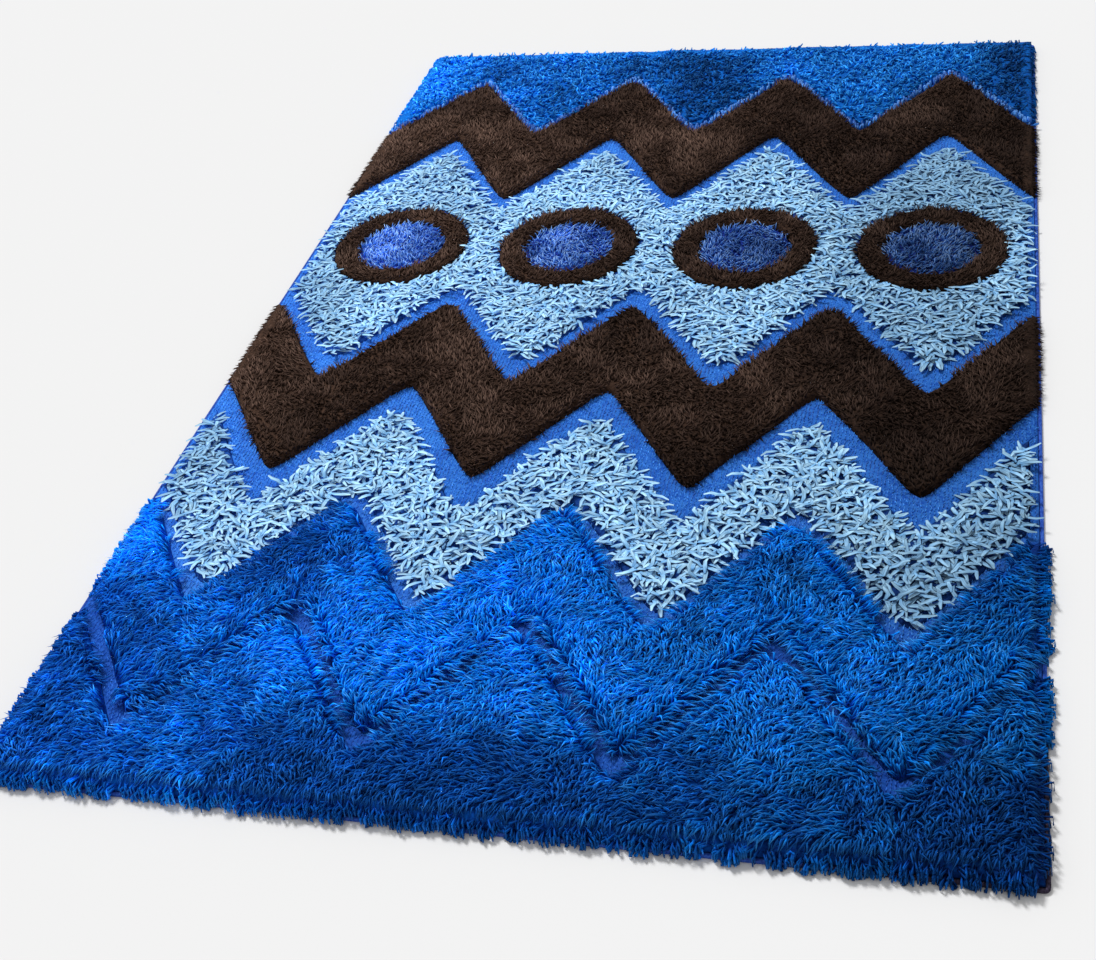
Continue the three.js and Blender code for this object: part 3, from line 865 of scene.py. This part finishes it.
def spikes(zone, seed):
    """Fine pointed strands that stand nearly upright in a disc's middle."""
    rng = np.random.default_rng(seed)
    x, y = scatter(zone, SPIKE_SPACING, SPIKE_INSET, rng)
    distance, outward = zone.rim(x, y)
    shade = dye(zone, x, y, clumps(x, y, PLUSH_CLUMP, seed)[2])
    flow = math.pi * smooth_noise(x, y, FLOW_CELL, seed + 1) + rng.normal(0, SPIKE_STRAY, x.size)
    at_rim = np.clip(1 - distance / SPIKE_RIM, 0, 1)
    heading = blend_headings(flow, outward, SPIKE_RIM_LEAN * at_rim)
    length = rng.uniform(*SPIKE_LENGTH, x.size) * MM
    width = rng.uniform(*SPIKE_WIDTH, x.size) * MM
    rise = rng.uniform(*SPIKE_RISE, x.size) - SPIKE_RIM_FALL * at_rim
    droop = rng.uniform(*SPIKE_DROOP, x.size)
    curl = rng.normal(0, SPIKE_CURL, x.size)
    root = (x, y, zone.surface(x, y) - ROOT_DEPTH)
    return strand_piece(f"{zone.name}_strands", SPIKE_YARN, MATERIALS["violet_strands"], rng, shade,
                        root, heading, rise, droop, length, width, curl)


# Low pile: yarn, how far its heading strays, and how much steeper, longer and wider it stands than a
# flat stitch
Stitch = namedtuple("Stitch", "yarn stray steeper longer wider")
FLAT_STITCH = Stitch(SHORT_YARN, 0.3, 0, 1.0, 1.0)
UPRIGHT_LOOP = Stitch(LOOP_YARN, 1.2, 48, 2.05, 1.45)
STITCH_ACROSS = 6.2 * MM
STITCH_ALONG = 6.6 * MM
STITCH_SHIFT_X = 0.5 * MM
STITCH_SHIFT_Y = 0.8 * MM
STITCH_INSET = 1.5 * MM
STITCH_ROOT = LOW_PILE_TOP - 1.2 * MM
STITCH_LENGTH = (6.5, 8.5)
STITCH_WIDTH = (4.6, 6.0)
STITCH_RISE_MEAN, STITCH_RISE_SPREAD = 24, 6
STITCH_CLUMP = 30 * MM
BESIDE_HEM = 4 * MM
BESIDE_HEADING = 0.3
BESIDE_STEEPER = -12


def stitches(name, strips, stitch, material, seed):
    """Short even pile in columns: flat stitches that each lie up the rug, or standing loops.

    Along the rug's sides they lie out over the hem.
    """
    rng = np.random.default_rng(seed)
    columns = np.arange(-SIDE_REACH, SIDE_REACH, STITCH_ACROSS)
    y0 = min(strip.extent()[2] for strip in strips)
    y1 = max(strip.extent()[3] for strip in strips)
    u, v = np.meshgrid(columns, np.arange(y0, y1, STITCH_ALONG))
    shift = STITCH_ALONG / 2 * (np.round(u / STITCH_ACROSS) % 2)
    x = (u + rng.normal(0, STITCH_SHIFT_X, u.shape)).reshape(-1)
    y = (v + shift + rng.normal(0, STITCH_SHIFT_Y, u.shape)).reshape(-1)
    inside = np.max([strip.rim(x, y)[0] for strip in strips], axis=0) > STITCH_INSET
    x, y = x[inside], y[inside]
    heading = math.pi / 2 + rng.normal(0, stitch.stray, x.size)
    beside = np.abs(x) > SIDE_REACH - BESIDE_HEM
    out = np.where(x > 0, BESIDE_HEADING, math.pi - BESIDE_HEADING)
    heading = np.where(beside, out, heading)
    rise = rng.normal(STITCH_RISE_MEAN, STITCH_RISE_SPREAD, x.size)
    rise = rise + np.where(beside, BESIDE_STEEPER, stitch.steeper)
    length = rng.uniform(*STITCH_LENGTH, x.size) * MM * stitch.longer
    width = rng.uniform(*STITCH_WIDTH, x.size) * MM * stitch.wider
    root = (x, y, np.full(x.size, STITCH_ROOT))
    shade = clumps(x, y, STITCH_CLUMP, seed)[2]
    return strand_piece(f"{name}_stitches", stitch.yarn, material, rng, shade, root, heading, rise,
                        0.0, length, width)


# Materials

BLACK = (0, 0, 0, 1)
WHITE = (1, 1, 1, 1)
NOISE_SPAN = (0.36, 0.64)
MOTTLE_SCALE = 14.0
PATCH_SHARE = 0.55
GLINT_CHANCE = (0.86, 0.96)
EDGE_SHADE_SPAN = (0.7, 0.95)
ROUGH = 0.9


def colour(hex_code):
    """Linear colour from a screen colour such as 0B5CC4."""
    channels = [int(hex_code[i:i + 2], 16) / 255 for i in (0, 2, 4)]
    linear = [c / 12.92 if c <= 0.04045 else ((c + 0.055) / 1.055) ** 2.4 for c in channels]
    return (*linear, 1.0)


class Nodes:
    """A material's node tree with short calls to add and join nodes."""

    def __init__(self, name):
        self.material = bpy.data.materials.new(name)
        self.material.use_nodes = True
        self.tree = self.material.node_tree
        self.shader = self.tree.nodes["Principled BSDF"]

    def plug(self, socket, value):
        if isinstance(value, bpy.types.NodeSocket):
            self.tree.links.new(value, socket)
        else:
            socket.default_value = value

    def add(self, kind, **inputs):
        node = self.tree.nodes.new(kind)
        for key, value in inputs.items():
            self.plug(node.inputs[key], value)
        return node

    def where(self):
        return self.add("ShaderNodeTexCoord").outputs["Object"]

    def noise(self, scale, detail=2.0, roughness=0.5, stretch=None):
        place = self.where()
        if stretch:
            place = self.add("ShaderNodeMapping", Vector=place, Scale=stretch).outputs["Vector"]
        node = self.add("ShaderNodeTexNoise", Vector=place, Scale=scale, Detail=detail, Roughness=roughness)
        return node.outputs["Fac"]

    def ramp(self, value, stops):
        node = self.add("ShaderNodeValToRGB", Fac=value)
        elements = node.color_ramp.elements
        while len(elements) < len(stops):
            elements.new(0.5)
        for element, (place, tone) in zip(elements, stops):
            element.position = place
            element.color = tone
        return node.outputs["Color"]

    def above(self, value, low, high):
        """0 where a value is below low and 1 where it is above high, with a slope between."""
        return self.ramp(value, [(low, BLACK), (high, WHITE)])

    def mix(self, share, first, second):
        node = self.tree.nodes.new("ShaderNodeMix")
        node.data_type = "RGBA"
        for socket, value in ((node.inputs[0], share), (node.inputs[6], first), (node.inputs[7], second)):
            self.plug(socket, value)
        return node.outputs[2]

    def math(self, operation, first, second=0.0):
        node = self.tree.nodes.new("ShaderNodeMath")
        node.operation = operation
        self.plug(node.inputs[0], first)
        self.plug(node.inputs[1], second)
        return node.outputs[0]

    def span(self, value, low, high):
        """A value from 0 to 1 turned into one from low to high."""
        return self.math("ADD", self.math("MULTIPLY", value, high - low), low)

    def scaled(self, tone, factor):
        """A colour made brighter or darker by a factor that varies over the surface."""
        node = self.add("ShaderNodeVectorMath")
        node.operation = "SCALE"
        self.plug(node.inputs[0], tone)
        self.plug(node.inputs["Scale"], factor)
        return node.outputs[0]

    def varied(self, tone, value, amount):
        """A colour made darker where a value is 0 and brighter where it is 1, by an amount."""
        return self.scaled(tone, self.span(value, 1 - amount, 1 + amount))

    def fibres(self, along, across, chance):
        """Fine streaks that run along each strand, with a value round 0.5."""
        place = self.add(
            "ShaderNodeCombineXYZ",
            X=self.math("MULTIPLY", across, 3.2), Y=self.math("MULTIPLY", along, 2.0),
            Z=self.math("MULTIPLY", chance, 40.0),
        )
        node = self.add("ShaderNodeTexNoise", Vector=place.outputs["Vector"], Scale=1.0, Detail=2.0)
        return node.outputs["Fac"]

    def slanted(self, x_share, y_share, start):
        """A value that rises evenly over the rug, from its place across and up it."""
        parts = self.add("ShaderNodeSeparateXYZ", Vector=self.where()).outputs
        across = self.math("MULTIPLY", parts["X"], x_share)
        up = self.math("MULTIPLY", parts["Y"], y_share)
        return self.math("ADD", self.math("ADD", across, up), start)

    def scaled_by_falloff(self, tone, dye_and_painted_falloff):
        """A colour scaled from the rug's top left corner, near 0, to its bottom right one, near 1. The
        scaling is partly uneven dye and partly painted light falloff: painted light towards the top left
        and painted shade towards the bottom right.
        """
        # Painted light falloff, partly uneven dye: scaled up at the top left, and down as painted shade at
        # the bottom right.
        return self.scaled(tone, self.span(self.slanted(0.33, -0.13, 0.5), *dye_and_painted_falloff))

    def bump(self, height, strength, distance):
        node = self.add("ShaderNodeBump", Height=height, Strength=strength, Distance=distance)
        self.plug(self.shader.inputs["Normal"], node.outputs["Normal"])

    def finish(self, base, roughness, specular=0.06):
        self.plug(self.shader.inputs["Base Color"], base)
        self.shader.inputs["Roughness"].default_value = roughness
        self.shader.inputs["Specular IOR Level"].default_value = specular
        return self.material


def dyed(nodes, base, patch, shade, patchy, dye_and_painted_falloff):
    """Dye that takes unevenly: patches of a second, darker tone, and mottling. Last comes a slow fade over
    the rug, partly uneven dye and partly painted light falloff that darkens towards the bottom right.
    """
    dark = nodes.ramp(shade, [(0.2, WHITE), (0.55, BLACK)])
    base = nodes.mix(nodes.math("MULTIPLY", dark, PATCH_SHARE), base, colour(patch))
    base = nodes.varied(base, shade, patchy)
    uneven = nodes.above(nodes.noise(MOTTLE_SCALE), *NOISE_SPAN)
    base = nodes.varied(base, uneven, 0.3 * patchy)
    return nodes.scaled_by_falloff(base, dye_and_painted_falloff)


def strand_material(name, root, body, tip, patch, dye_and_painted_falloff, spread, patchy, roughness=0.8,
                    painted_glint=0.0, painted_edge_shade=0.0):
    """Yarn of fine fibres that varies by strand and by patch. It darkens towards its root, painted shade
    deep in the pile, and lightens towards its tip, painted light on the tips.

    Painted glint is how much brighter one strand in ten is, a painted highlight, and painted edge shade how
    much darker a strand's edges are, painted shade where the locks overlap.
    """
    nodes = Nodes(name)
    tones = nodes.tree.nodes.new("ShaderNodeAttribute")
    tones.attribute_name = "pile"
    along, chance, shade = nodes.add("ShaderNodeSeparateColor", Color=tones.outputs["Color"]).outputs
    across = tones.outputs["Alpha"]
    # Root to tip ramp: painted shade at the root, painted light towards the tip.
    base = nodes.ramp(along, [(0.0, colour(root)), (0.5, colour(body)), (1.0, colour(tip))])
    base = dyed(nodes, base, patch, shade, patchy, dye_and_painted_falloff)
    base = nodes.varied(base, chance, 0.7 * spread)
    # Painted highlight: one strand in ten made brighter as a glint.
    if painted_glint:
        glinting = nodes.above(chance, *GLINT_CHANCE)
        base = nodes.scaled(base, nodes.span(glinting, 1, 1 + painted_glint))
    # Painted shade along a strand's edges, where flat locks lie over each other.
    if painted_edge_shade:
        edge = nodes.above(nodes.math("ABSOLUTE", nodes.span(across, -1, 1)), *EDGE_SHADE_SPAN)
        base = nodes.scaled(base, nodes.span(edge, 1, 1 - painted_edge_shade))
    fibres = nodes.fibres(along, across, chance)
    base = nodes.varied(base, nodes.above(fibres, *NOISE_SPAN), spread)
    nodes.bump(fibres, 0.6, 0.6 * MM)
    return nodes.finish(base, roughness)


def pile_material(name, dark, light, scale, dye_and_painted_falloff):
    """Dense pile seen end on: fine mottling from dark to light, with a soft bump. Under the tall yarns its
    darker tones are painted shade of the gaps between strands.
    """
    nodes = Nodes(name)
    fine = nodes.noise(scale, detail=4.0, roughness=0.65)
    broad = nodes.noise(9.0)
    value = nodes.math("ADD", nodes.math("MULTIPLY", fine, 0.75), nodes.math("MULTIPLY", broad, 0.25))
    base = nodes.ramp(value, [(0.36, colour(dark)), (0.62, colour(light))])
    nodes.bump(fine, 0.8, 1.5 * MM)
    return nodes.finish(nodes.scaled_by_falloff(base, dye_and_painted_falloff), ROUGH)


def cloth_material(name, dark, light, bare_shaded_dark, bare_shaded_light):
    """Woven canvas overcast with blue thread, bare and grey towards the rug's bottom right corner, where it
    is darkened as painted shade of that low margin.
    """
    nodes = Nodes(name)
    weave = nodes.noise(420.0, stretch=(1.0, 0.4, 1.0))
    blue = nodes.ramp(weave, [(0.35, colour(dark)), (0.65, colour(light))])
    bare = nodes.ramp(weave, [(0.35, colour(bare_shaded_dark)), (0.65, colour(bare_shaded_light))])
    # Share of bare canvas, darkened as painted shade, towards the rug's bottom right corner.
    share = nodes.above(nodes.slanted(-0.9, 1.0, 2.08), 0.5, 0.62)
    nodes.bump(weave, 0.5, 0.6 * MM)
    return nodes.finish(nodes.mix(share, bare, blue), ROUGH)


# Slabs of pile: dark and light mottling, its scale, and its fade over the rug, which is partly painted
# light falloff. Under the tall yarns a slab is darker than its strands, painted shade where it shows in the
# gaps between them; under the locks its lighter tone is partly the low pile's own blue.
PILES = {
    "low_pile": ("1A54C0", "3E8AEC", 170.0, (1.38, 0.3)),
    # A darker copy of the low pile: painted shade of the deep channel between the shag zones.
    "shaded_low_pile": ("12429E", "2864C8", 170.0, (1.3, 0.5)),
    "royal_pile": ("0240A0", "0670CC", 220.0, (1.5, 0.15)),
    "brown_pile": ("1C120D", "4A362B", 240.0, (1.75, -0.05)),
    "light_pile": ("0C3688", "2A62C0", 200.0, (1.4, 0.0)),
    "violet_pile": ("0A1A6C", "2444B0", 240.0, (1.95, -0.5)),
    "shag_pile": ("002070", "0454B4", 200.0, (2.2, 0.1)),
}

# Yarns: colours at the root, in the middle, at the tip and in patches, and how these vary. The darker root
# colour is painted shade deep in the pile, and the paler tip colour is painted light on the tips.
YARNS = {
    "low_pile_stitches": dict(
        root="2664CC", body="3A8AEC", tip="6CA8F6", patch="446CD4", dye_and_painted_falloff=(1.38, 0.3),
        spread=0.3, patchy=0.2, roughness=ROUGH),
    "shaded_low_pile_stitches": dict(
        root="1850B4", body="2C6CD2", tip="4884E2", patch="3058C0", dye_and_painted_falloff=(1.3, 0.5),
        spread=0.2, patchy=0.15, roughness=ROUGH),
    "royal_tufts": dict(
        root="023C98", body="047CE2", tip="3CA8FF", patch="023A9C", dye_and_painted_falloff=(1.42, 0.0),
        spread=0.34, patchy=0.5, painted_glint=0.45),
    "brown_tufts": dict(
        root="251A16", body="4B3932", tip="6B564A", patch="382A25", dye_and_painted_falloff=(1.65, -0.05),
        spread=0.3, patchy=0.3, roughness=ROUGH),
    "light_locks": dict(
        root="72B2EC", body="A0D2F8", tip="B8E4FF", patch="90C4F0", dye_and_painted_falloff=(1.26, 0.52),
        spread=0.24, patchy=0.2, painted_edge_shade=0.58),
    "violet_strands": dict(
        root="2450BC", body="5494F4", tip="B0D4FF", patch="4480E8", dye_and_painted_falloff=(1.95, -0.5),
        spread=0.35, patchy=0.3),
    "shag_strands": dict(
        root="0A46B6", body="0484EA", tip="4CACFF", patch="0C46B8", dye_and_painted_falloff=(2.15, 0.2),
        spread=0.34, patchy=0.38, painted_glint=0.6),
}

# The last two colours are the bare canvas, darkened as painted shade at the rug's bottom right corner.
CANVAS = cloth_material("backing_canvas", "1C3C94", "3A62BC", "1E1A26", "463E52")
MATERIALS = {name: pile_material(name, *look) for name, look in PILES.items()}
MATERIALS.update({name: strand_material(name, **look) for name, look in YARNS.items()})


# Zones of pile

ACROSS = (-SIDE_REACH, SIDE_REACH)
ISLAND = (-ISLAND_REACH, ISLAND_REACH)

# Bands of tall pile: yarn, the lines below and above, the two ends, seed, and any holes
BANDS = {
    name: Band(name, *row) for name, row in {
        "top_field": ("royal", "top_low", "top_edge", ACROSS, 11),
        "brown_band_1": ("brown", "brown_1_low", "brown_1_high", ACROSS, 12),
        "light_field": ("light", "light_1_low", "light_1_high", ISLAND, 13, DISC_CENTRES),
        "brown_band_2": ("brown", "brown_2_low", "brown_2_high", ACROSS, 14),
        "light_band": ("light", "light_2_low", "light_2_high", ISLAND, 15),
        "shag_band": ("shag", "shag_1_low", "shag_1_high", ACROSS, 16),
        "shag_field": ("shag", "bottom_edge", "shag_2_high", ACROSS, 17),
    }.items()
}

# Channels: the lines below and above, the tall band inside, the look of the pile, and its stitch
CHANNELS = {
    "low_pile_1": ("brown_1_high", "top_low", None, "low_pile", UPRIGHT_LOOP),
    "low_pile_2": ("brown_2_high", "brown_1_low", "light_field", "low_pile", FLAT_STITCH),
    "low_pile_3": ("shag_1_high", "brown_2_low", "light_band", "low_pile", FLAT_STITCH),
    # The last channel uses the darker copy of the low pile, painted shade of its deep channel.
    "low_pile_4": ("shag_2_high", "shag_1_low", None, "shaded_low_pile", FLAT_STITCH),
}


def channel_strips(name, low, high, island, seed):
    """Strips of low pile in one channel: one, or four that go round the tall band inside it."""
    if island is None:
        spans = [(low, high, ACROSS)]
    else:
        tall = BANDS[island]
        left, right = tall.ends
        spans = [
            (low, tall.low, ACROSS),
            (tall.high, high, ACROSS),
            (tall.low, tall.high, (-SIDE_REACH, left - GAP)),
            (tall.low, tall.high, (right + GAP, SIDE_REACH)),
        ]
    return [Band(name, "low", *span, seed + k) for k, span in enumerate(spans)]


def settle(piece, node):
    """Puts a piece on the rug's one body in place of a node."""
    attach(piece, "root")
    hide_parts(node)


def dress(zone, *pieces):
    """Settles a zone's own pieces, its slab or its strands, in place of the node of its name."""
    for piece in pieces:
        settle(piece, zone.name)


def slab(zone):
    return solid_piece(f"{zone.name}_pile", [zone.skin()], MATERIALS[f"{zone.yarn}_pile"])


def rounded_outline(inset):
    """Points round the rug's edge, moved in by an inset, with small round corners."""
    radius = CORNER_RADIUS - inset
    straight_x = HALF_WIDTH - CORNER_RADIUS
    straight_y = HALF_LENGTH - CORNER_RADIUS
    corners = [(straight_x, -straight_y), (straight_x, straight_y),
               (-straight_x, straight_y), (-straight_x, -straight_y)]
    x, y = [], []
    for k, (corner_x, corner_y) in enumerate(corners):
        angle = np.linspace((k - 1) * math.pi / 2, k * math.pi / 2, CORNER_POINTS)
        x.append(corner_x + radius * np.cos(angle))
        y.append(corner_y + radius * np.sin(angle))
    return np.concatenate(x), np.concatenate(y)


def backing_cloth():
    """Thin flat sheet whose edge is turned over into a rounded hem all round."""
    rings = []
    for inset, height in HEM_SECTION:
        x, y = rounded_outline(inset * MM)
        rings.append(np.stack([x, y, np.full(x.shape, height * MM)], axis=1))
    return solid_piece("backing_cloth", [loft(np.stack(rings, axis=0), closed=False)], CANVAS)


def fill_channels():
    for k, (name, (low, high, island, look, stitch)) in enumerate(CHANNELS.items()):
        strips = channel_strips(name, low, high, island, 30 + 5 * k)
        pile = solid_piece(f"{name}_pile", [strip.skin() for strip in strips], MATERIALS[look])
        settle(pile, name)
        yarn = stitches(name, strips, stitch, MATERIALS[f"{look}_stitches"], 50 + k)
        settle(yarn, name)


def dress_bands():
    for zone in BANDS.values():
        dress(zone, slab(zone))
    for name, plush, clear_side, seed in (("top_field", ROYAL_PLUSH, -1, 101),
                                          ("brown_band_1", BROWN_PLUSH, 1, 111),
                                          ("brown_band_2", BROWN_PLUSH, 0, 112)):
        dress(BANDS[name], tufts(BANDS[name], plush, clear_side, seed))
    for name, spacing, seed in (("light_field", 9.2 * MM, 121), ("light_band", 9.8 * MM, 122)):
        dress(BANDS[name], locks(BANDS[name], spacing, seed))
    for name, parting, seed in (("shag_band", 0.4, 131), ("shag_field", -1.0, 132)):
        dress(BANDS[name], *shag(BANDS[name], parting, seed))


def dress_discs():
    for k, centre in enumerate(DISC_CENTRES):
        ring = Disc(f"brown_ring_{k + 1}", "brown", centre, RING_INNER, RING_OUTER, 140 + k, "ring")
        middle = Disc(f"blue_centre_{k + 1}", "violet", centre, 0, CENTRE_OUTER, 150 + k)
        dress(ring, slab(ring), tufts(ring, BROWN_PLUSH, 0, 160 + k))
        dress(middle, slab(middle), spikes(middle, 170 + k))


backing = backing_cloth()
settle(backing, "backing")
fill_channels()
dress_bands()
dress_discs()


# Floor, light and camera

FLOOR_REACH = 200.0
FLOOR_TONE = (0.76, 0.76, 0.76, 1.0)
CAMERA_PLACE = (0.57862, -2.31518, 1.52655)
CAMERA_TURN = (51.87, 7.21, 13.02)
LENS = 51.59
SENSOR = 36.0


def studio_floor():
    mesh = bpy.data.meshes.new("studio_floor")
    corners = [(x * FLOOR_REACH, y * FLOOR_REACH, 0) for x, y in ((-1, -1), (1, -1), (1, 1), (-1, 1))]
    mesh.from_pydata(corners, [], [[0, 1, 2, 3]])
    mesh.materials.append(Nodes("studio_floor").finish(FLOOR_TONE, roughness=0.95, specular=0.0))
    add_object("studio_floor", mesh)


def soft_sun(towards, softness, strength):
    """Even light from far off that shines along a direction, with soft-edged shadows."""
    data = bpy.data.lights.new("key", "SUN")
    data.angle = math.radians(softness)
    data.energy = strength
    lamp = add_object("key", data)
    lamp.rotation_mode = "QUATERNION"
    lamp.rotation_quaternion = Vector(towards).to_track_quat("-Z", "Y")


def studio_camera():
    """Camera at a standing person's height, close to the rug's near right corner."""
    data = bpy.data.cameras.new("camera")
    data.sensor_width = SENSOR
    data.lens = LENS
    camera = add_object("camera", data)
    camera.location = CAMERA_PLACE
    camera.rotation_euler = [math.radians(angle) for angle in CAMERA_TURN]
    bpy.context.scene.camera = camera


def studio_world(strength):
    world = bpy.data.worlds.new("studio")
    world.use_nodes = True
    background = world.node_tree.nodes["Background"]
    background.inputs["Color"].default_value = WHITE
    background.inputs["Strength"].default_value = strength
    bpy.context.scene.world = world


studio_floor()
studio_camera()
soft_sun(towards=(0.42, -0.52, -0.74), softness=14, strength=2.8)
studio_world(strength=0.52)
bpy.context.scene.view_settings.view_transform = "Standard"
